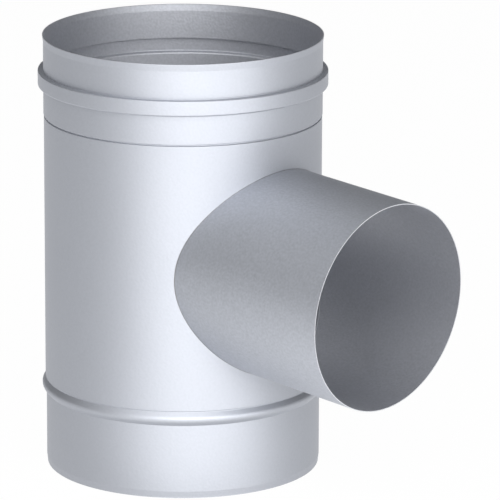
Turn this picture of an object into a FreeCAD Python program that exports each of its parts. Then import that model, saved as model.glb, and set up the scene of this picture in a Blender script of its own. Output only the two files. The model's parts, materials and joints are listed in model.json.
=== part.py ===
"""Flue tee in thin stainless sheet: a 200 mm straight tube with a 150 mm side branch.

Millimetres. The main axis is Z and the origin is the middle of the spigot's lower
end, on which the tee stands. The branch leaves towards +X and falls as it goes out.

Four formed pieces are butt welded: a spigot with its stop bead, a plain barrel, a
socket collar with a bead for a sealing ring, and a branch cut to sit on the barrel.
"""

import FreeCAD, Part
import math
import os

# sheet; every radius, bend and cove below is on the sheet's outer face
WALL = 0.6
SOFT_BEND = 2.0
EDGE_LIP = 0.5  # straight last stretch of a flared or tapered edge

# barrel
BARREL_BORE = 201.0
BARREL_LENGTH = 196.6

# socket collar
SOCKET_BORE = 201.6
SOCKET_DEPTH = 59.0
RIM_FLARE = 0.55
RIM_FLARE_LENGTH = 5.0
RING_BEAD_DROP = 25.7  # from the rim down to the bead's upper shoulder
RING_BEAD_HEIGHT = 11.3
RING_BEAD_RISE = 3.95  # face of the bead beyond the socket's wall
RING_BEAD_UPPER_COVE = 0.4
RING_BEAD_UPPER_BEND = 0.8
RING_BEAD_LOWER_BEND = 1.4
RING_BEAD_LOWER_COVE = 0.8

# spigot, which slides into the socket of the next length
SLIDING_CLEARANCE = 0.9  # on the diameter
END_CLEARANCE = 4.4  # left at the spigot's tip once the stop bead's foot is level with the rim
SPIGOT_TAPER = 0.55
SPIGOT_TAPER_LENGTH = 5.0

# stop bead; its corner is where its two slopes would meet if they weren't rounded
STOP_BEAD_HEIGHT = 10.3
STOP_BEAD_CORNER_HEIGHT = 4.8
STOP_BEAD_CORNER_RISE = 3.5  # beyond the barrel's wall
STOP_BEAD_BEND = 4.3
STOP_BEAD_COVE = 0.5

# welds: both edges are rolled inwards into a narrow groove and meet face to face
COLLAR_SEAM_DIP = 1.0
SPIGOT_SEAM_DIP = 0.35
SEAM_LIP = 0.3
SEAM_SLOPE = 0.3
SEAM_BEND = 0.7
SEAM_COVE = 0.1

# branch
BRANCH_BORE = 150.0
BRANCH_REACH = 205.5  # from the main axis to the mouth, along the branch's own axis
BRANCH_HEIGHT = 100.9  # from the barrel's lower edge to where the two axes cross
BRANCH_FALL = 3.0  # degrees below square

# radii and heights that follow
BARREL_RADIUS = BARREL_BORE / 2 + WALL
SOCKET_RADIUS = SOCKET_BORE / 2 + WALL
RIM_RADIUS = SOCKET_RADIUS + RIM_FLARE
SPIGOT_RADIUS = (SOCKET_BORE - SLIDING_CLEARANCE) / 2
TIP_RADIUS = SPIGOT_RADIUS - SPIGOT_TAPER
SPIGOT_LENGTH = SOCKET_DEPTH - END_CLEARANCE
BARREL_FOOT = SPIGOT_LENGTH + STOP_BEAD_HEIGHT
BARREL_TOP = BARREL_FOOT + BARREL_LENGTH
RIM = BARREL_TOP + SOCKET_DEPTH
BRANCH_ROOT = FreeCAD.Vector(0, 0, BARREL_FOOT + BRANCH_HEIGHT)
FALL_ANGLE = math.radians(BRANCH_FALL)
BRANCH_AXIS = FreeCAD.Vector(math.cos(FALL_ANGLE), 0, -math.sin(FALL_ANGLE))


def path_edges(corners):
    """Edges of an open path in the XZ plane through (radius, height, bend) corners.

    Each corner between the path's two ends is rounded by its bend.
    """
    points = [FreeCAD.Vector(radius, 0, height) for radius, height, bend in corners]
    edges = []
    start = points[0]
    for index in range(1, len(points) - 1):
        corner = points[index]
        bend = corners[index][2]
        back = (points[index - 1] - corner).normalize()
        onward = (points[index + 1] - corner).normalize()
        half_angle = back.getAngle(onward) / 2
        reach = bend / math.tan(half_angle)
        inset = bend / math.sin(half_angle) - bend
        arc_start = corner + back * reach
        arc_middle = corner + (back + onward).normalize() * inset
        arc_end = corner + onward * reach
        edges.append(Part.LineSegment(start, arc_start).toShape())
        edges.append(Part.Arc(arc_start, arc_middle, arc_end).toShape())
        start = arc_end
    edges.append(Part.LineSegment(start, points[-1]).toShape())
    return edges


def sheet_ring(corners):
    """A ring of sheet round the main axis; corners follow its outer face from the bottom up."""
    outer_face = Part.Wire(path_edges(corners))
    section = outer_face.makeOffset2D(WALL, fill=True, openResult=True)
    return section.revolve(FreeCAD.Vector(0, 0, 0), FreeCAD.Vector(0, 0, 1), 360)


def edge_above_seam(radius, seam, dip):
    """Corners of a lower edge that is rolled inwards to its weld."""
    return [
        (radius - dip, seam, 0),
        (radius - dip, seam + SEAM_LIP, SEAM_COVE),
        (radius, seam + SEAM_LIP + SEAM_SLOPE, SEAM_BEND),
    ]


def edge_below_seam(radius, seam, dip):
    """Corners of an upper edge that is rolled inwards to its weld."""
    return [
        (radius, seam - SEAM_LIP - SEAM_SLOPE, SEAM_BEND),
        (radius - dip, seam - SEAM_LIP, SEAM_COVE),
        (radius - dip, seam, 0),
    ]


def branch_cylinder(radius):
    """A cylinder on the branch's axis, from the main axis out to the mouth."""
    return Part.makeCylinder(radius, BRANCH_REACH, BRANCH_ROOT, BRANCH_AXIS)


def make_spigot_ring():
    """The spigot: an eased tip, the sliding length and the rolled stop bead above it."""
    corner_radius = BARREL_RADIUS + STOP_BEAD_CORNER_RISE
    corner_height = SPIGOT_LENGTH + STOP_BEAD_CORNER_HEIGHT
    lip_radius = BARREL_RADIUS - SPIGOT_SEAM_DIP
    return sheet_ring([
        (TIP_RADIUS, 0, 0),
        (TIP_RADIUS, EDGE_LIP, SOFT_BEND),
        (SPIGOT_RADIUS, SPIGOT_TAPER_LENGTH, SOFT_BEND),
        (SPIGOT_RADIUS, SPIGOT_LENGTH, STOP_BEAD_COVE),
        (corner_radius, corner_height, STOP_BEAD_BEND),
        (lip_radius, BARREL_FOOT - SEAM_LIP, SEAM_COVE),
        (lip_radius, BARREL_FOOT, 0),
    ])


def make_barrel():
    """The plain tube between spigot and collar, opened where the branch sits on it."""
    tube = sheet_ring(
        edge_above_seam(BARREL_RADIUS, BARREL_FOOT, SPIGOT_SEAM_DIP)
        + edge_below_seam(BARREL_RADIUS, BARREL_TOP, COLLAR_SEAM_DIP)
    )
    return tube.cut(branch_cylinder(BRANCH_BORE / 2))


def make_socket_collar():
    """The socket: its wall with the sealing ring's bead, and the rim flared as a lead-in."""
    seam_dip = COLLAR_SEAM_DIP + SOCKET_RADIUS - BARREL_RADIUS
    bead_radius = SOCKET_RADIUS + RING_BEAD_RISE
    bead_top = RIM - RING_BEAD_DROP
    bead_foot = bead_top - RING_BEAD_HEIGHT
    return sheet_ring(
        edge_above_seam(SOCKET_RADIUS, BARREL_TOP, seam_dip)
        + [
            (SOCKET_RADIUS, bead_foot, RING_BEAD_LOWER_COVE),
            (bead_radius, bead_foot, RING_BEAD_LOWER_BEND),
            (bead_radius, bead_top, RING_BEAD_UPPER_BEND),
            (SOCKET_RADIUS, bead_top, RING_BEAD_UPPER_COVE),
            (SOCKET_RADIUS, RIM - RIM_FLARE_LENGTH, SOFT_BEND),
            (RIM_RADIUS, RIM - EDGE_LIP, SOFT_BEND),
            (RIM_RADIUS, RIM, 0),
        ]
    )


def make_branch_stub():
    """The branch: plain tube, its inner end shaped to the barrel and its mouth cut square."""
    tube = branch_cylinder(BRANCH_BORE / 2 + WALL).cut(branch_cylinder(BRANCH_BORE / 2))
    barrel_body = Part.makeCylinder(BARREL_RADIUS, BARREL_LENGTH, FreeCAD.Vector(0, 0, BARREL_FOOT))
    return tube.cut(barrel_body)


pieces = {
    "spigot_ring": make_spigot_ring(),
    "barrel": make_barrel(),
    "socket_collar": make_socket_collar(),
    "branch_stub": make_branch_stub(),
}

os.makedirs("parts", exist_ok=True)
for name, shape in pieces.items():
    shape.exportStep("parts/" + name + ".step")
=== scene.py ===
"""A stainless flue tee dressed for a studio picture.

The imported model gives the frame. Every piece here is formed sheet or a weld on it, at the
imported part's own sizes, in metres, standing on the floor with the branch towards +X.
"""

import json
import math

import bmesh
import bpy
from bpy.props import FloatProperty, FloatVectorProperty, IntProperty, PointerProperty
from mathutils import Matrix, Vector


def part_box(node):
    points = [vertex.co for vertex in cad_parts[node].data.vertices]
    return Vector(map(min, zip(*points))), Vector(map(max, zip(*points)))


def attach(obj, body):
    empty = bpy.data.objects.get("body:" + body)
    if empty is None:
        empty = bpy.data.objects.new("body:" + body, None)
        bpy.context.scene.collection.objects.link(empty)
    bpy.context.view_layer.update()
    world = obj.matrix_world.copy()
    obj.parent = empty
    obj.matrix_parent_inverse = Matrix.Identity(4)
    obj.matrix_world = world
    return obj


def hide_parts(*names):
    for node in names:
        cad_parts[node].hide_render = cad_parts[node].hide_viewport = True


bl_info = {
    "name": "Flue tee in stainless sheet",
    "version": (1, 0, 0),
    "blender": (4, 5, 0),
    "location": "3D View > Sidebar > Flue tee",
    "description": "Forms and welds the four sheets of a flue tee, and lights them",
    "category": "Object",
}

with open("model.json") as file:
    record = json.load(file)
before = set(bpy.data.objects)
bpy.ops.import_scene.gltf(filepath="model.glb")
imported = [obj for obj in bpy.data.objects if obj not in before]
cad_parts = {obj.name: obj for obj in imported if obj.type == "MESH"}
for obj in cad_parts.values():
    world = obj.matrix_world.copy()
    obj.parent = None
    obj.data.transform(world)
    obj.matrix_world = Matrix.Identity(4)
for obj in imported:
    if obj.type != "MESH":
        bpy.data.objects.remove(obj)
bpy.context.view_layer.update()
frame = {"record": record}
MM = 0.001
MOUNTS = {mount["name"]: mount for mount in frame["record"]["mounts"]}

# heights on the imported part, in millimetres
BARREL_FOOT = round(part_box("barrel")[0].z / MM, 2)
BARREL_TOP = round(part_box("barrel")[1].z / MM, 2)
RIM_HEIGHT = round(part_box("socket_collar")[1].z / MM, 2)

# where each finish of a sheet is in its mesh's list of materials
OUTSIDE, INSIDE, CUT_EDGE, WELD_AND_JOINT_SHADE = range(4)

SHARP_BEND = math.radians(40)  # bends between facets that turn more than this look crisp
FLOOR_RADIUS = 12.0  # metres
FLOOR_SIDES = 96
SENSOR_WIDTH = 36.0  # millimetres
FURTHEST_SEEN = 100.0  # metres


def length(name, description, millimetres):
    """A size that a user may change, held in metres and given in millimetres."""
    return FloatProperty(
        name=name,
        description=description,
        default=millimetres * MM,
        unit="LENGTH",
        subtype="DISTANCE",
        precision=5,
    )


def angle(name, description, degrees):
    """An angle that a user may change, given in degrees."""
    return FloatProperty(
        name=name, description=description, default=math.radians(degrees), subtype="ANGLE"
    )


def point(name, description, metres):
    """A place in the scene that a user may change."""
    return FloatVectorProperty(
        name=name,
        description=description,
        default=metres,
        unit="LENGTH",
        subtype="TRANSLATION",
        precision=5,
    )


def radiance(name, description, value):
    """How bright a lamp's face or the room looks, where 1 is white."""
    return FloatProperty(name=name, description=description, default=value, min=0.0)


def linear_colour(hex_code):
    """Linear red, green, blue and alpha of an sRGB hex colour."""
    channels = [int(hex_code[start:start + 2], 16) / 255 for start in (1, 3, 5)]
    linear = [c / 12.92 if c <= 0.04045 else ((c + 0.055) / 1.055) ** 2.4 for c in channels]
    return (*linear, 1.0)


def hex_colour(name, description, hex_code):
    """A finish's colour, given as sRGB hex."""
    return FloatVectorProperty(
        name=name,
        description=description,
        default=linear_colour(hex_code),
        size=4,
        min=0.0,
        max=1.0,
        subtype="COLOR",
    )


class SheetSettings(bpy.types.PropertyGroup):
    """Sizes that every piece shares."""

    wall: length("Wall", "Thickness of the sheet", 0.6)
    soft_bend: length("Soft bend", "Outer radius of a gentle bend", 2.0)
    edge_lip: length("Edge lip", "Straight last stretch of a flared or tapered edge", 0.5)
    seam_lip: length("Seam lip", "Straight stretch next to a round weld", 0.3)
    seam_slope: length("Seam slope", "Height over which an edge is rolled in to its weld", 0.3)
    seam_bend: length("Seam bend", "Outer radius of the bends beside a round weld", 0.7)
    seam_cove: length("Seam cove", "Outer radius in the groove along a round weld", 0.1)
    bend_steps: IntProperty(
        name="Bend steps", description="Faces across each bend", default=5, min=2, max=16
    )
    round_steps: IntProperty(
        name="Round steps", description="Faces round each piece", default=180, min=48, max=360
    )


class SpigotSettings(bpy.types.PropertyGroup):
    """Sizes of the spigot and its stop bead."""

    radius: length(
        "Radius", "Outer radius of the sliding length", MOUNTS["spigot"]["dims"]["r_mm"]
    )
    taper: length("Taper", "How far the tip is eased inwards", 0.55)
    taper_length: length("Taper length", "Height of the eased tip", 5.0)
    bead_height: length("Bead height", "Height of the stop bead", 10.3)
    corner_height: length(
        "Corner height", "Where the bead's two slopes would meet, above its foot", 4.8
    )
    corner_rise: length(
        "Corner rise", "How far beyond the barrel's wall the two slopes would meet", 3.5
    )
    bead_bend: length("Bead bend", "Outer radius of the bead's crest", 4.3)
    bead_cove: length("Bead cove", "Outer radius under the bead", 0.5)
    seam_dip: length("Seam dip", "Depth of the groove at the weld to the barrel", 0.35)


class BarrelSettings(bpy.types.PropertyGroup):
    """Sizes of the plain barrel."""

    radius: length("Radius", "Outer radius of the barrel", 101.1)
    foot: length("Foot", "Height of the weld to the spigot", BARREL_FOOT)
    top: length("Top", "Height of the weld to the collar", BARREL_TOP)


class CollarSettings(bpy.types.PropertyGroup):
    """Sizes of the socket collar and its bead."""

    bore_radius: length(
        "Bore radius", "Inner radius of the socket", MOUNTS["socket"]["dims"]["r_mm"]
    )
    rim: length("Rim", "Height of the rim", RIM_HEIGHT)
    rim_flare: length("Rim flare", "How far the rim is opened outwards", 0.55)
    rim_flare_length: length("Rim flare length", "Height of the flared rim", 5.0)
    bead_drop: length("Bead drop", "From the rim down to the bead's upper shoulder", 25.7)
    bead_height: length("Bead height", "Height of the bead for the sealing ring", 11.3)
    bead_rise: length("Bead rise", "Face of the bead beyond the socket's wall", 3.95)
    bead_upper_cove: length("Upper cove", "Outer radius above the bead", 0.4)
    bead_upper_bend: length("Upper bend", "Outer radius of the bead's upper shoulder", 0.8)
    bead_lower_bend: length("Lower bend", "Outer radius of the bead's lower shoulder", 1.4)
    bead_lower_cove: length("Lower cove", "Outer radius below the bead", 0.8)
    seam_dip: length("Seam dip", "Depth of the groove at the weld to the barrel", 1.0)


class BranchSettings(bpy.types.PropertyGroup):
    """Sizes of the side branch."""

    bore_radius: length(
        "Bore radius", "Inner radius of the branch", MOUNTS["branch"]["dims"]["r_mm"]
    )
    reach: length("Reach", "From the main axis to the mouth, along the branch's own axis", 205.5)
    height: length("Height", "From the barrel's foot to where the two axes cross", 100.9)
    joint_toe: length("Joint toe", "How far the weld to the barrel spreads on the barrel", 0.25)
    joint_height: length("Joint height", "How far that weld climbs along the branch", 0.4)
    fall: angle("Fall", "Slope of the branch below square", 3.0)


class WeldSettings(bpy.types.PropertyGroup):
    """The lengthwise welds that close the rolled pieces, all on the far side."""

    pitch: length("Pitch", "From one ripple of a bead to the next", 0.6)
    width: length("Width", "Across a bead", 1.6)
    rise: length("Rise", "Height of a bead above the sheet", 0.12)
    unevenness: FloatProperty(
        name="Unevenness",
        description="Share by which ripples differ",
        default=0.15,
        min=0.0,
        max=0.5,
    )
    seed: IntProperty(name="Seed", description="Picks which ripples are larger", default=7)
    tube_bearing: angle(
        "Tube bearing", "Of the spigot's and the barrel's welds, from the branch", 180.0
    )
    collar_bearing: angle("Collar bearing", "Of the collar's weld, from the branch", 215.0)
    branch_bearing: angle("Branch bearing", "Of the branch's weld, from the branch's top", 192.0)


class FinishSettings(bpy.types.PropertyGroup):
    """Colours of the finishes."""

    sheet: hex_colour("Sheet", "The sheet's outer face", "#B3B6BD")
    inner_face: hex_colour("Inner face", "The sheet's inner face, as it was rolled", "#B5B7BD")
    # the cut edge's colour is lighter than the sheet's: a painted highlight along the rims and
    # cuts
    edge: hex_colour("Cut edge", "Sheared edge of the sheet", "#DADCE0")
    # the weld's darker colour also stands as painted shade in the crease where the branch meets
    # the barrel
    weld: hex_colour("Weld", "Weld metal", "#A0A0A2")
    floor: hex_colour("Floor", "Matt white studio floor", "#F4F4F5")


# Each lamp: its setting, its bearing in degrees from the camera to the right, its distance
# from the main axis and its height above the floor in metres, how many degrees it looks up
# (below 0: down) as it faces the main axis, and its width and height in metres.
LAMPS = (
    ("foot_panel", 0, 0.26, 0.006, 90, 0.36, 0.26),
    ("front_board", 0, 0.70, 0.065, 0, 0.80, 0.12),
    ("right_board", 45, 0.70, 0.065, 0, 0.30, 0.12),
    ("front_middle", 0, 2.55, 0.70, -12, 2.50, 1.05),
    ("front_high", 0, 1.96, 1.87, -41, 2.40, 1.50),
    ("right_low", 45, 2.54, 0.70, -12, 1.20, 1.05),
    ("left_high", -60, 1.96, 1.87, -41, 2.10, 1.50),
    ("overhead", 0, 0.08, 2.56, -88, 1.60, 1.60),
)


class StudioSettings(bpy.types.PropertyGroup):
    """Where the camera stands and how bright the studio is."""

    camera_place: point("Camera place", "Position of the lens", (2.4906, -2.4820, 1.1028))
    camera_aim: point("Camera aim", "Point in the picture's middle", (0.0346, 0.0347, 0.1584))
    camera_roll: angle("Camera roll", "Turn of the picture about its middle", 0.22)
    focal_length: FloatProperty(
        name="Focal length",
        description="Of the lens, in millimetres",
        default=358.2,
        unit="CAMERA",
    )
    foot_panel: radiance("Foot panel", "Weak panel that lies in front of the tee", 0.4)
    front_board: radiance("Front board", "Low bright board close in front", 3.2)
    right_board: radiance("Right board", "Low bright board at the front right", 4.6)
    front_middle: radiance("Front middle", "Wide lamp behind the camera", 4.4)
    front_high: radiance("Front high", "Wide lamp above the camera", 3.55)
    right_low: radiance("Right low", "Low lamp to the camera's right", 4.45)
    left_high: radiance("Left high", "Weak high lamp to the camera's left", 0.8)
    overhead: radiance("Overhead", "Weak lamp straight above", 1.4)
    room: radiance("Room", "Grey of the room around the stage", 0.15)
    floor_share: FloatProperty(
        name="White in the floor",
        description="Share of plain white in the floor that is seen; the rest carries the shadow",
        default=0.98,
        min=0.0,
        max=1.0,
    )


class FlueTeeSettings(bpy.types.PropertyGroup):
    """All settings of the flue tee."""

    sheet: PointerProperty(type=SheetSettings)
    spigot: PointerProperty(type=SpigotSettings)
    barrel: PointerProperty(type=BarrelSettings)
    collar: PointerProperty(type=CollarSettings)
    branch: PointerProperty(type=BranchSettings)
    weld: PointerProperty(type=WeldSettings)
    finish: PointerProperty(type=FinishSettings)
    studio: PointerProperty(type=StudioSettings)


def new_object(name, data):
    """An object of the given data, in the scene."""
    made = bpy.data.objects.new(name, data)
    bpy.context.scene.collection.objects.link(made)
    return made


def add_node(tree, kind, settings=None, inputs=None):
    """Adds a node, sets its properties, and sets or links its inputs by name or number."""
    made = tree.nodes.new(kind)
    for name, value in (settings or {}).items():
        setattr(made, name, value)
    for key, value in (inputs or {}).items():
        if isinstance(value, bpy.types.NodeSocket):
            tree.links.new(value, made.inputs[key])
        else:
            made.inputs[key].default_value = value
    return made


def new_material(name):
    """A material with an empty node tree."""
    material = bpy.data.materials.new(name)
    material.use_nodes = True
    material.node_tree.nodes.clear()
    return material


def metal(name, colour, grain, relief, spread, patch, driest, glossiest):
    """A bare metal: fine grains, over patches of which some are drier than others.

    Grain, relief and patch are sizes in metres. The grains stand up by relief and are lighter
    or darker by the share spread; driest and glossiest are the roughness of the patches.
    """
    if name in bpy.data.materials:
        return bpy.data.materials[name]
    material = new_material(name)
    tree = material.node_tree
    place = add_node(tree, "ShaderNodeTexCoord").outputs["Object"]
    grains = add_node(tree, "ShaderNodeTexNoise", inputs={
        "Vector": place,
        "Scale": 1 / grain,
        "Detail": 0.0,
    })
    strength = add_node(tree, "ShaderNodeMapRange", inputs={
        "Value": grains.outputs["Fac"],
        "To Min": 1 - spread,
        "To Max": 1 + spread,
    })
    tone = add_node(tree, "ShaderNodeVectorMath", {"operation": "SCALE"}, {
        0: colour[:3],
        "Scale": strength.outputs["Result"],
    })
    bumps = add_node(tree, "ShaderNodeBump", inputs={
        "Height": grains.outputs["Fac"],
        "Distance": relief,
    })
    patches = add_node(tree, "ShaderNodeTexNoise", inputs={
        "Vector": place,
        "Scale": 1 / patch,
        "Detail": 1.0,
    })
    dryness = add_node(tree, "ShaderNodeMapRange", inputs={
        "Value": patches.outputs["Fac"],
        "To Min": glossiest,
        "To Max": driest,
    })
    surface = add_node(tree, "ShaderNodeBsdfPrincipled", inputs={
        "Base Color": tone.outputs["Vector"],
        "Metallic": 1.0,
        "Roughness": dryness.outputs["Result"],
        "Normal": bumps.outputs["Normal"],
    })
    add_node(tree, "ShaderNodeOutputMaterial", inputs={"Surface": surface.outputs["BSDF"]})
    return material


def satin_stainless_sheet():
    """Cold-rolled stainless sheet: a cool, pale, soft mirror with a hardly visible grain.

    The grain shows only where the light falls off across a face. The real one is about
    0.1 mm wide; it is drawn at 1.7 mm, which is as fine as the picture shows. The patches
    are the faint clouds, about a hand wide, that rolling leaves.
    """
    return metal(
        "satin_stainless_sheet",
        bpy.context.scene.flue_tee.finish.sheet,
        grain=1.7 * MM,
        relief=0.05 * MM,
        spread=0.03,
        patch=80 * MM,
        driest=0.61,
        glossiest=0.55,
    )


def dry_stainless_sheet():
    """The branch's outside: the same cool sheet from a drier batch, with a lively speckle.

    The barrel beside it looks polished; the branch looks as if lightly sanded.
    """
    return metal(
        "dry_stainless_sheet",
        bpy.context.scene.flue_tee.finish.sheet,
        grain=1.7 * MM,
        relief=0.10 * MM,
        spread=0.10,
        patch=80 * MM,
        driest=0.61,
        glossiest=0.55,
    )


def mill_finish_stainless():
    """The sheet's inner face, left as the rolls made it: drier, more neutral and more speckled.

    In the shade inside the branch and the socket its speckle is what tells it from paint.
    It is drawn as coarse as the outside's, for the same reason.
    """
    return metal(
        "mill_finish_stainless",
        bpy.context.scene.flue_tee.finish.inner_face,
        grain=1.7 * MM,
        relief=0.09 * MM,
        spread=0.09,
        patch=80 * MM,
        driest=0.62,
        glossiest=0.56,
    )


def sheared_stainless_edge():
    """The guillotined edge of the sheet: bare metal that the blade tears lightly, coloured lighter
    than the sheet.

    Its lighter colour is a painted highlight: the thin pale line of light along each rim and cut.
    The tears are as long as the sheet is thick.
    """
    return metal(
        "sheared_stainless_edge",
        bpy.context.scene.flue_tee.finish.edge,
        grain=0.6 * MM,
        relief=0.02 * MM,
        spread=0.10,
        patch=6 * MM,
        driest=0.52,
        glossiest=0.38,
    )


def stainless_weld():
    """Weld metal as the torch left it: a little darker than the sheet, warmer and smoother.

    It reads as a fine grey line, mottled by a few millimetres of more or less heat. Where the
    branch meets the barrel its darker colour is partly weld metal and partly painted shade in the
    crease there.
    """
    return metal(
        "stainless_weld",
        bpy.context.scene.flue_tee.finish.weld,
        grain=4.0 * MM,
        relief=0.05 * MM,
        spread=0.15,
        patch=12 * MM,
        driest=0.50,
        glossiest=0.35,
    )


def new_geometry_tree(name, sockets):
    """A Geometry Nodes tree with the given inputs and one geometry output."""
    tree = bpy.data.node_groups.new(name, "GeometryNodeTree")
    for label, kind in sockets:
        tree.interface.new_socket(label, in_out="INPUT", socket_type=kind)
    tree.interface.new_socket("Geometry", in_out="OUTPUT", socket_type="NodeSocketGeometry")
    return tree


def rounded_outline(tree, given):
    """The outline curve, with each corner rounded by the radius of its point."""
    outline = add_node(tree, "GeometryNodeObjectInfo", inputs={"Object": given["Outline"]})
    bend = add_node(tree, "GeometryNodeInputRadius")
    rounded = add_node(tree, "GeometryNodeFilletCurve", {"mode": "POLY"}, {
        "Curve": outline.outputs["Geometry"],
        "Count": given["Bend steps"],
        "Radius": bend.outputs["Radius"],
    })
    return rounded.outputs["Curve"]


def turned_sheet_tree():
    """Geometry Nodes that round the bends of an outline and turn it about the main axis."""
    name = "turned_sheet"
    if name in bpy.data.node_groups:
        return bpy.data.node_groups[name]
    tree = new_geometry_tree(name, (
        ("Outline", "NodeSocketObject"),
        ("Datum radius", "NodeSocketFloat"),
        ("Bend steps", "NodeSocketInt"),
        ("Round steps", "NodeSocketInt"),
        ("Material", "NodeSocketMaterial"),
    ))
    given = add_node(tree, "NodeGroupInput").outputs
    circle = add_node(tree, "GeometryNodeCurvePrimitiveCircle", inputs={
        "Resolution": given["Round steps"],
        "Radius": given["Datum radius"],
    })
    swept = add_node(tree, "GeometryNodeCurveToMesh", inputs={
        "Curve": circle.outputs["Curve"],
        "Profile Curve": rounded_outline(tree, given),
    })
    # the sweep comes out upside down
    upright = add_node(tree, "GeometryNodeTransform", inputs={
        "Geometry": swept.outputs["Mesh"],
        "Rotation": (math.pi, 0, 0),
    })
    smooth = add_node(tree, "GeometryNodeSetShadeSmooth", inputs={
        "Geometry": upright.outputs["Geometry"],
    })
    realized = add_node(tree, "GeometryNodeRealizeInstances", inputs={
        "Geometry": smooth.outputs["Geometry"],
    })
    finished = add_node(tree, "GeometryNodeSetMaterial", inputs={
        "Geometry": realized.outputs["Geometry"],
        "Material": given["Material"],
    })
    add_node(tree, "NodeGroupOutput", inputs={"Geometry": finished.outputs["Geometry"]})
    return tree


def weld_bead_tree():
    """Geometry Nodes that lay overlapping ripples of weld metal along an outline."""
    name = "weld_bead"
    if name in bpy.data.node_groups:
        return bpy.data.node_groups[name]
    tree = new_geometry_tree(name, (
        ("Outline", "NodeSocketObject"),
        ("Bend steps", "NodeSocketInt"),
        ("Pitch", "NodeSocketFloat"),
        ("Width", "NodeSocketFloat"),
        ("Rise", "NodeSocketFloat"),
        ("Smallest", "NodeSocketFloat"),
        ("Largest", "NodeSocketFloat"),
        ("Seed", "NodeSocketInt"),
        ("Turn", "NodeSocketVector"),
        ("Place", "NodeSocketVector"),
        ("Material", "NodeSocketMaterial"),
    ))
    given = add_node(tree, "NodeGroupInput").outputs
    stations = add_node(tree, "GeometryNodeResampleCurve", {"mode": "LENGTH"}, {
        "Curve": rounded_outline(tree, given),
        "Length": given["Pitch"],
    })
    # two stations at each end stay bare, so that no ripple hangs over the sheet's edge
    ends = add_node(tree, "GeometryNodeCurveEndpointSelection", inputs={
        "Start Size": 2,
        "End Size": 2,
    })
    inner = add_node(tree, "FunctionNodeBooleanMath", {"operation": "NOT"}, {
        0: ends.outputs["Selection"],
    })
    tangent = add_node(tree, "GeometryNodeInputTangent")
    along = add_node(tree, "FunctionNodeAlignRotationToVector", {"axis": "Y", "pivot_axis": "Z"}, {
        "Vector": tangent.outputs["Tangent"],
    })
    drop = add_node(tree, "GeometryNodeMeshUVSphere", inputs={
        "Segments": 8,
        "Rings": 4,
        "Radius": 1.0,
    })
    soft = add_node(tree, "GeometryNodeSetShadeSmooth", inputs={"Geometry": drop.outputs["Mesh"]})
    half_width = add_node(tree, "ShaderNodeMath", {"operation": "MULTIPLY"}, {
        0: given["Width"],
        1: 0.5,
    })
    usual = add_node(tree, "ShaderNodeCombineXYZ", inputs={
        "X": given["Rise"],
        "Y": given["Pitch"],
        "Z": half_width.outputs["Value"],
    })
    # this node has sockets of the same name for each kind of value; these are the plain numbers'
    share = add_node(tree, "FunctionNodeRandomValue", {"data_type": "FLOAT"}, {
        2: given["Smallest"],
        3: given["Largest"],
        "Seed": given["Seed"],
    })
    uneven = add_node(tree, "ShaderNodeVectorMath", {"operation": "SCALE"}, {
        0: usual.outputs["Vector"],
        "Scale": share.outputs[1],
    })
    ripples = add_node(tree, "GeometryNodeInstanceOnPoints", inputs={
        "Points": stations.outputs["Curve"],
        "Selection": inner.outputs["Boolean"],
        "Instance": soft.outputs["Geometry"],
        "Rotation": along.outputs["Rotation"],
        "Scale": uneven.outputs["Vector"],
    })
    placed = add_node(tree, "GeometryNodeTransform", inputs={
        "Geometry": ripples.outputs["Instances"],
        "Translation": given["Place"],
        "Rotation": given["Turn"],
    })
    realized = add_node(tree, "GeometryNodeRealizeInstances", inputs={
        "Geometry": placed.outputs["Geometry"],
    })
    finished = add_node(tree, "GeometryNodeSetMaterial", inputs={
        "Geometry": realized.outputs["Geometry"],
        "Material": given["Material"],
    })
    add_node(tree, "NodeGroupOutput", inputs={"Geometry": finished.outputs["Geometry"]})
    return tree


def made_by_nodes(name, tree, values):
    """An object whose mesh a Geometry Nodes tree makes; values are its inputs by their labels."""
    made = new_object(name, bpy.data.meshes.new(name))
    modifier = made.modifiers.new(tree.name, "NODES")
    modifier.node_group = tree
    items = tree.interface.items_tree
    for label, value in values.items():
        modifier[items[label].identifier] = value
    return made


def baked(source, name):
    """A plain mesh object of what source's modifiers make; source is removed."""
    bpy.context.view_layer.update()
    evaluated = source.evaluated_get(bpy.context.evaluated_depsgraph_get())
    mesh = bpy.data.meshes.new_from_object(evaluated)
    old_mesh = source.data
    bpy.data.objects.remove(source)
    bpy.data.meshes.remove(old_mesh)
    mesh.name = name
    return new_object(name, mesh)


def outline_curve(corners, datum):
    """An open curve through (radius, height, bend) corners; each point's radius is its bend."""
    curve = bpy.data.curves.new("outline", "CURVE")
    curve.dimensions = "3D"
    line = curve.splines.new("POLY")
    line.points.add(len(corners) - 1)
    for corner, (radius, height, bend) in zip(line.points, corners):
        corner.co = (radius - datum, height, 0, 1)
        corner.radius = bend
    return new_object("outline", curve)


def list_finishes(mesh, outside):
    """Lists the finishes of a sheet's mesh in the order of OUTSIDE, INSIDE and CUT_EDGE."""
    for finish in (outside, mill_finish_stainless, sheared_stainless_edge):
        mesh.materials.append(finish())


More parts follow.
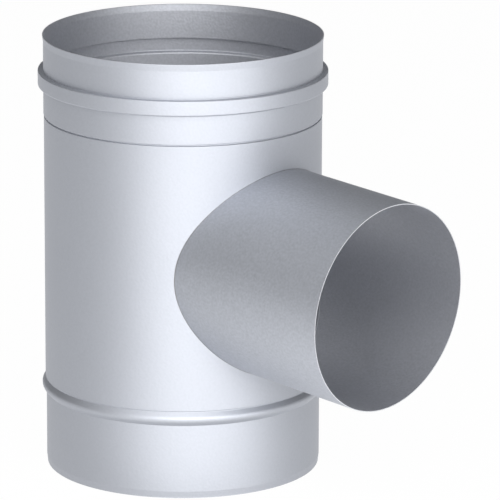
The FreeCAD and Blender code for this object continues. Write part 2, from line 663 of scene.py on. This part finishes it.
def turned_sheet(name, corners):
    """Sheet turned about the main axis; corners follow its outer face from the bottom up."""
    sheet = bpy.context.scene.flue_tee.sheet
    datum = corners[0][0]
    outline = outline_curve(corners, datum)
    blank = made_by_nodes(name, turned_sheet_tree(), {
        "Outline": outline,
        "Datum radius": datum,
        "Bend steps": sheet.bend_steps,
        "Round steps": sheet.round_steps,
        "Material": satin_stainless_sheet(),
    })
    thick = blank.modifiers.new("Sheet thickness", "SOLIDIFY")
    thick.thickness = sheet.wall
    thick.offset = -1.0  # inwards from the outer face
    thick.use_even_offset = True
    made = baked(blank, name)
    bpy.data.curves.remove(outline.data)
    # clearing the list also resets each facet's place in it, so the facets come afterwards
    made.data.materials.clear()
    list_finishes(made.data, satin_stainless_sheet)
    # the modifier lists the outer face's facets first, then the inner face's, then those of
    # the two cut edges, so the number of whole faces passed is the finish
    facets_a_face = len(made.data.polygons) // 2 - sheet.round_steps
    for number, facet in enumerate(made.data.polygons):
        facet.material_index = min(number // facets_a_face, CUT_EDGE)
    return made


def with_true_shading(piece):
    """Makes corners crisp and lets the large faces set the shading beside each bend."""
    piece.data.shade_smooth()
    piece.data.set_sharp_from_angle(angle=SHARP_BEND)
    weighted = piece.modifiers.new("Shading by face size", "WEIGHTED_NORMAL")
    weighted.keep_sharp = True
    weighted.weight = 100  # the most that the modifier takes
    return baked(piece, piece.name)


def lay_weld(name, corners, outwards, along, origin):
    """A weld bead along corners, given as distances from origin outwards and along."""
    tee = bpy.context.scene.flue_tee
    weld = tee.weld
    outline = outline_curve(corners, 0)
    axes = Matrix((outwards, along, outwards.cross(along))).transposed()
    blank = made_by_nodes(name, weld_bead_tree(), {
        "Outline": outline,
        "Bend steps": tee.sheet.bend_steps,
        "Pitch": weld.pitch,
        "Width": weld.width,
        "Rise": weld.rise,
        "Smallest": 1 - weld.unevenness,
        "Largest": 1 + weld.unevenness,
        "Seed": weld.seed,
        "Turn": tuple(axes.to_euler()),
        "Place": tuple(origin),
        "Material": stainless_weld(),
    })
    bead = baked(blank, name)
    bpy.data.curves.remove(outline.data)
    # the ripples come with an empty place before their finish
    bead.data.materials.clear()
    bead.data.materials.append(stainless_weld())
    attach(bead, "root")


def finish_piece(piece, node):
    """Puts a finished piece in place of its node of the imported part."""
    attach(piece, "root")
    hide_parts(node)


def edge_above_seam(radius, seam, dip):
    """Corners of a lower edge that is rolled inwards to its weld."""
    sheet = bpy.context.scene.flue_tee.sheet
    return [
        (radius - dip, seam, 0),
        (radius - dip, seam + sheet.seam_lip, sheet.seam_cove),
        (radius, seam + sheet.seam_lip + sheet.seam_slope, sheet.seam_bend),
    ]


def edge_below_seam(radius, seam, dip):
    """Corners of an upper edge that is rolled inwards to its weld."""
    sheet = bpy.context.scene.flue_tee.sheet
    return [
        (radius, seam - sheet.seam_lip - sheet.seam_slope, sheet.seam_bend),
        (radius - dip, seam - sheet.seam_lip, sheet.seam_cove),
        (radius - dip, seam, 0),
    ]


def spigot_corners():
    """The spigot's outer face, from its tip up over the stop bead to the weld."""
    tee = bpy.context.scene.flue_tee
    sheet, spigot, barrel = tee.sheet, tee.spigot, tee.barrel
    tip_radius = spigot.radius - spigot.taper
    corner_radius = barrel.radius + spigot.corner_rise
    lip_radius = barrel.radius - spigot.seam_dip
    bead_foot = barrel.foot - spigot.bead_height
    return [
        (tip_radius, 0, 0),
        (tip_radius, sheet.edge_lip, sheet.soft_bend),
        (spigot.radius, spigot.taper_length, sheet.soft_bend),
        (spigot.radius, bead_foot, spigot.bead_cove),
        (corner_radius, bead_foot + spigot.corner_height, spigot.bead_bend),
        (lip_radius, barrel.foot - sheet.seam_lip, sheet.seam_cove),
        (lip_radius, barrel.foot, 0),
    ]


def barrel_corners():
    """The barrel's outer face, from weld to weld."""
    tee = bpy.context.scene.flue_tee
    barrel = tee.barrel
    return (
        edge_above_seam(barrel.radius, barrel.foot, tee.spigot.seam_dip)
        + edge_below_seam(barrel.radius, barrel.top, tee.collar.seam_dip)
    )


def collar_corners():
    """The collar's outer face, from the weld up over the bead to the flared rim."""
    tee = bpy.context.scene.flue_tee
    sheet, barrel, collar = tee.sheet, tee.barrel, tee.collar
    radius = collar.bore_radius + sheet.wall
    bead_radius = radius + collar.bead_rise
    rim_radius = radius + collar.rim_flare
    bead_top = collar.rim - collar.bead_drop
    bead_foot = bead_top - collar.bead_height
    return edge_above_seam(radius, barrel.top, collar.seam_dip + radius - barrel.radius) + [
        (radius, bead_foot, collar.bead_lower_cove),
        (bead_radius, bead_foot, collar.bead_lower_bend),
        (bead_radius, bead_top, collar.bead_upper_bend),
        (radius, bead_top, collar.bead_upper_cove),
        (radius, collar.rim - collar.rim_flare_length, sheet.soft_bend),
        (rim_radius, collar.rim - sheet.edge_lip, sheet.soft_bend),
        (rim_radius, collar.rim, 0),
    ]


def branch_axis():
    """Where the branch's axis starts, and which way it goes out."""
    tee = bpy.context.scene.flue_tee
    fall = tee.branch.fall
    root = Vector((0, 0, tee.barrel.foot + tee.branch.height))
    return root, Vector((math.cos(fall), 0, -math.sin(fall)))


def away_from_branch(around):
    """The direction away from the branch's axis, at an angle from its top."""
    fall = bpy.context.scene.flue_tee.branch.fall
    upwards = Vector((math.sin(fall), 0, math.cos(fall)))
    sideways = Vector((0, 1, 0))
    return upwards * math.cos(around) + sideways * math.sin(around)


def branch_place(around, along, radius):
    """A point of a tube round the branch's axis: an angle from its top, and two distances."""
    root, axis = branch_axis()
    return root + axis * along + away_from_branch(around) * radius


def distance_to_barrel(around, radius):
    """How far along the branch a line of its tube meets the barrel's outer face."""
    tee = bpy.context.scene.flue_tee
    fall = tee.branch.fall
    across = radius * math.sin(around)
    raised = radius * math.cos(around) * math.sin(fall)
    return (math.sqrt(tee.barrel.radius ** 2 - across ** 2) - raised) / math.cos(fall)


def branch_bore_cutter():
    """A solid that fills the branch's bore from the main axis out to the mouth."""
    tee = bpy.context.scene.flue_tee
    branch = tee.branch
    upright_to_axis = Matrix.Rotation(math.pi / 2 + branch.fall, 4, "Y")
    shape = bmesh.new()
    bmesh.ops.create_cone(
        shape,
        cap_ends=True,
        segments=tee.sheet.round_steps,
        radius1=branch.bore_radius,
        radius2=branch.bore_radius,
        depth=branch.reach,
        matrix=Matrix.Translation(branch_place(0, branch.reach / 2, 0)) @ upright_to_axis,
    )
    # the edge that is cut in the barrel takes its finish from the cutter
    for facet in shape.faces:
        facet.material_index = CUT_EDGE
    mesh = bpy.data.meshes.new("branch_opening")
    shape.to_mesh(mesh)
    shape.free()
    list_finishes(mesh, satin_stainless_sheet)
    return new_object("branch_opening", mesh)


def branch_section(around):
    """Corners of the branch's wall on one line of its tube, as distance along and radius.

    They go from the weld's toe on the barrel out along the outer face and back inside.
    """
    tee = bpy.context.scene.flue_tee
    branch = tee.branch
    inner = branch.bore_radius
    outer = inner + tee.sheet.wall
    toe = outer + branch.joint_toe
    return (
        (distance_to_barrel(around, toe), toe),
        (distance_to_barrel(around, outer) + branch.joint_height, outer),
        (branch.reach, outer),
        (branch.reach, inner),
        (distance_to_barrel(around, inner), inner),
    )


def branch_sheet():
    """The branch's wall: one quad from line to line for each side of its section."""
    steps = bpy.context.scene.flue_tee.sheet.round_steps
    # of the side that starts at each corner of the section; the first is the weld at the barrel,
    # whose darker weld colour is partly painted shade in the crease there
    finishes = (WELD_AND_JOINT_SHADE, OUTSIDE, CUT_EDGE, INSIDE, CUT_EDGE)
    shape = bmesh.new()
    lines = []
    for step in range(steps):
        around = 2 * math.pi * step / steps
        lines.append([
            shape.verts.new(branch_place(around, *corner)) for corner in branch_section(around)
        ])
    for step in range(steps):
        here, following = lines[step - 1], lines[step]
        for start, finish in enumerate(finishes):
            end = (start + 1) % len(finishes)
            facet = shape.faces.new((here[start], here[end], following[end], following[start]))
            facet.material_index = finish
    bmesh.ops.recalc_face_normals(shape, faces=shape.faces)
    mesh = bpy.data.meshes.new("branch_sheet")
    shape.to_mesh(mesh)
    shape.free()
    list_finishes(mesh, dry_stainless_sheet)
    mesh.materials.append(stainless_weld())
    return new_object("branch_sheet", mesh)


class FLUETEE_OT_spigot_ring(bpy.types.Operator):
    """Form the spigot with its eased tip and stop bead"""

    bl_idname = "flue_tee.spigot_ring"
    bl_label = "Spigot ring"

    def execute(self, context):
        piece = turned_sheet("spigot_ring_sheet", spigot_corners())
        finish_piece(with_true_shading(piece), "spigot_ring")
        return {"FINISHED"}


class FLUETEE_OT_barrel(bpy.types.Operator):
    """Form the barrel and open it where the branch sits"""

    bl_idname = "flue_tee.barrel"
    bl_label = "Barrel"

    def execute(self, context):
        piece = turned_sheet("barrel_sheet", barrel_corners())
        cutter = branch_bore_cutter()
        opening = piece.modifiers.new("Branch opening", "BOOLEAN")
        opening.operation = "DIFFERENCE"
        opening.solver = "EXACT"
        opening.object = cutter
        piece = baked(piece, "barrel_sheet")
        # the cutter goes with its mesh
        bpy.data.meshes.remove(cutter.data)
        finish_piece(with_true_shading(piece), "barrel")
        return {"FINISHED"}


class FLUETEE_OT_socket_collar(bpy.types.Operator):
    """Form the socket collar with its bead and flared rim"""

    bl_idname = "flue_tee.socket_collar"
    bl_label = "Socket collar"

    def execute(self, context):
        piece = turned_sheet("socket_collar_sheet", collar_corners())
        finish_piece(with_true_shading(piece), "socket_collar")
        return {"FINISHED"}


class FLUETEE_OT_branch(bpy.types.Operator):
    """Form the branch with its inner end shaped to the barrel"""

    bl_idname = "flue_tee.branch"
    bl_label = "Branch"

    def execute(self, context):
        finish_piece(with_true_shading(branch_sheet()), "branch_stub")
        return {"FINISHED"}


class FLUETEE_OT_welds(bpy.types.Operator):
    """Lay the lengthwise weld that closes each rolled piece"""

    bl_idname = "flue_tee.welds"
    bl_label = "Lengthwise welds"

    def execute(self, context):
        tee = context.scene.flue_tee
        weld = tee.weld
        upwards = Vector((0, 0, 1))
        middle = Vector((0, 0, 0))
        for name, corners, bearing in (
            ("spigot_weld", spigot_corners(), weld.tube_bearing),
            ("barrel_weld", barrel_corners(), weld.tube_bearing),
            ("collar_weld", collar_corners(), weld.collar_bearing),
        ):
            outwards = Vector((math.cos(bearing), math.sin(bearing), 0))
            lay_weld(name, corners, outwards, upwards, middle)
        outer = tee.branch.bore_radius + tee.sheet.wall
        root, axis = branch_axis()
        start = distance_to_barrel(weld.branch_bearing, outer)
        corners = [(outer, start, 0), (outer, tee.branch.reach, 0)]
        lay_weld("branch_weld", corners, away_from_branch(weld.branch_bearing), axis, root)
        return {"FINISHED"}


def studio_floor():
    """Matt white paper: it takes the tee's soft shadow, and reads as plain white."""
    name = "matt_white_paper"
    if name in bpy.data.materials:
        return bpy.data.materials[name]
    tee = bpy.context.scene.flue_tee
    material = new_material(name)
    tree = material.node_tree
    rays = add_node(tree, "ShaderNodeLightPath").outputs
    reflected = add_node(tree, "ShaderNodeMath", {"operation": "ADD"}, {
        0: rays["Is Glossy Ray"],
        1: rays["Is Transmission Ray"],
    })
    seen = add_node(tree, "ShaderNodeMath", {"operation": "ADD"}, {
        0: rays["Is Camera Ray"],
        1: reflected.outputs["Value"],
    })
    share_of_white = add_node(tree, "ShaderNodeMath", {"operation": "MULTIPLY"}, {
        0: seen.outputs["Value"],
        1: tee.studio.floor_share,
    })
    paper = add_node(tree, "ShaderNodeBsdfDiffuse", inputs={"Color": tee.finish.floor})
    white = add_node(tree, "ShaderNodeEmission", inputs={"Strength": 1.0})
    surface = add_node(tree, "ShaderNodeMixShader", inputs={
        "Fac": share_of_white.outputs["Value"],
        1: paper.outputs["BSDF"],
        2: white.outputs["Emission"],
    })
    add_node(tree, "ShaderNodeOutputMaterial", inputs={"Surface": surface.outputs["Shader"]})
    return material


def studio_room():
    """The world: an evenly grey room round the stage."""
    room = bpy.data.worlds.new("studio_room")
    room.use_nodes = True
    tree = room.node_tree
    tree.nodes.clear()
    grey = add_node(tree, "ShaderNodeBackground", inputs={
        "Color": (1.0, 1.0, 1.0, 1.0),
        "Strength": bpy.context.scene.flue_tee.studio.room,
    })
    add_node(tree, "ShaderNodeOutputWorld", inputs={"Surface": grey.outputs["Background"]})
    return room


def lay_floor():
    """The round sheet of paper that the tee stands on."""
    mesh = bpy.data.meshes.new("floor")
    shape = bmesh.new()
    bmesh.ops.create_circle(shape, cap_ends=True, segments=FLOOR_SIDES, radius=FLOOR_RADIUS)
    shape.to_mesh(mesh)
    shape.free()
    mesh.materials.append(studio_floor())
    floor = new_object("floor", mesh)


def hang_lamp(name, bearing, distance, lift, tilt, width, height, brightness):
    """A soft rectangular lamp that isn't seen itself; the values are those of LAMPS."""
    camera = bpy.context.scene.flue_tee.studio.camera_place
    heading = math.atan2(camera[1], camera[0]) + math.radians(bearing)
    light = bpy.data.lights.new(name, "AREA")
    light.shape = "RECTANGLE"
    light.size = width
    light.size_y = height
    # a face of radiance 1 gives off pi watts for each square metre
    light.energy = brightness * math.pi * width * height
    lamp = new_object(name, light)
    place = Vector((distance * math.cos(heading), distance * math.sin(heading), lift))
    # a lamp shines along its own -Z: stood upright it faces the axis, then it is tilted
    upright = Matrix.Rotation(heading + math.pi / 2, 4, "Z") @ Matrix.Rotation(math.pi / 2, 4, "X")
    lamp.matrix_world = (
        Matrix.Translation(place) @ upright @ Matrix.Rotation(math.radians(tilt), 4, "X")
    )
    lamp.visible_camera = False


def set_up_camera():
    """The camera, which looks at its aim and is rolled a little about its line of sight."""
    studio = bpy.context.scene.flue_tee.studio
    lens = bpy.data.cameras.new("studio_camera")
    lens.lens = studio.focal_length
    lens.sensor_width = SENSOR_WIDTH
    lens.clip_end = FURTHEST_SEEN
    camera = new_object("studio_camera", lens)
    place, aim = Vector(studio.camera_place), Vector(studio.camera_aim)
    turn = (aim - place).to_track_quat("-Z", "Y").to_matrix()
    roll = Matrix.Rotation(studio.camera_roll, 3, "Z")
    camera.matrix_world = Matrix.Translation(place) @ (turn @ roll).to_4x4()
    bpy.context.scene.camera = camera


class FLUETEE_OT_stage(bpy.types.Operator):
    """Lay the floor, hang the lamps and set up the camera"""

    bl_idname = "flue_tee.stage"
    bl_label = "Stage"

    def execute(self, context):
        scene = context.scene
        scene.view_settings.view_transform = "Standard"
        scene.world = studio_room()
        lay_floor()
        for name, *place_and_size in LAMPS:
            hang_lamp(name, *place_and_size, getattr(scene.flue_tee.studio, name))
        set_up_camera()
        return {"FINISHED"}


class FLUETEE_PT_sidebar(bpy.types.Panel):
    """Lists the pieces of the flue tee and the stage"""

    bl_idname = "FLUETEE_PT_sidebar"
    bl_label = "Flue tee"
    bl_space_type = "VIEW_3D"
    bl_region_type = "UI"
    bl_category = "Flue tee"

    def draw(self, context):
        for operator in PIECES_AND_STAGE:
            self.layout.operator(operator.bl_idname)


PIECES_AND_STAGE = (
    FLUETEE_OT_spigot_ring,
    FLUETEE_OT_barrel,
    FLUETEE_OT_socket_collar,
    FLUETEE_OT_branch,
    FLUETEE_OT_welds,
    FLUETEE_OT_stage,
)
CLASSES = (
    SheetSettings,
    SpigotSettings,
    BarrelSettings,
    CollarSettings,
    BranchSettings,
    WeldSettings,
    FinishSettings,
    StudioSettings,
    FlueTeeSettings,
    *PIECES_AND_STAGE,
    FLUETEE_PT_sidebar,
)


def register():
    for cls in CLASSES:
        bpy.utils.register_class(cls)
    bpy.types.Scene.flue_tee = PointerProperty(type=FlueTeeSettings)


def unregister():
    del bpy.types.Scene.flue_tee
    for cls in reversed(CLASSES):
        bpy.utils.unregister_class(cls)


def main():
    """Makes every piece and the stage."""
    register()
    bpy.ops.flue_tee.spigot_ring()
    bpy.ops.flue_tee.barrel()
    bpy.ops.flue_tee.socket_collar()
    bpy.ops.flue_tee.branch()
    bpy.ops.flue_tee.welds()
    bpy.ops.flue_tee.stage()


if __name__ == "__main__":
    main()
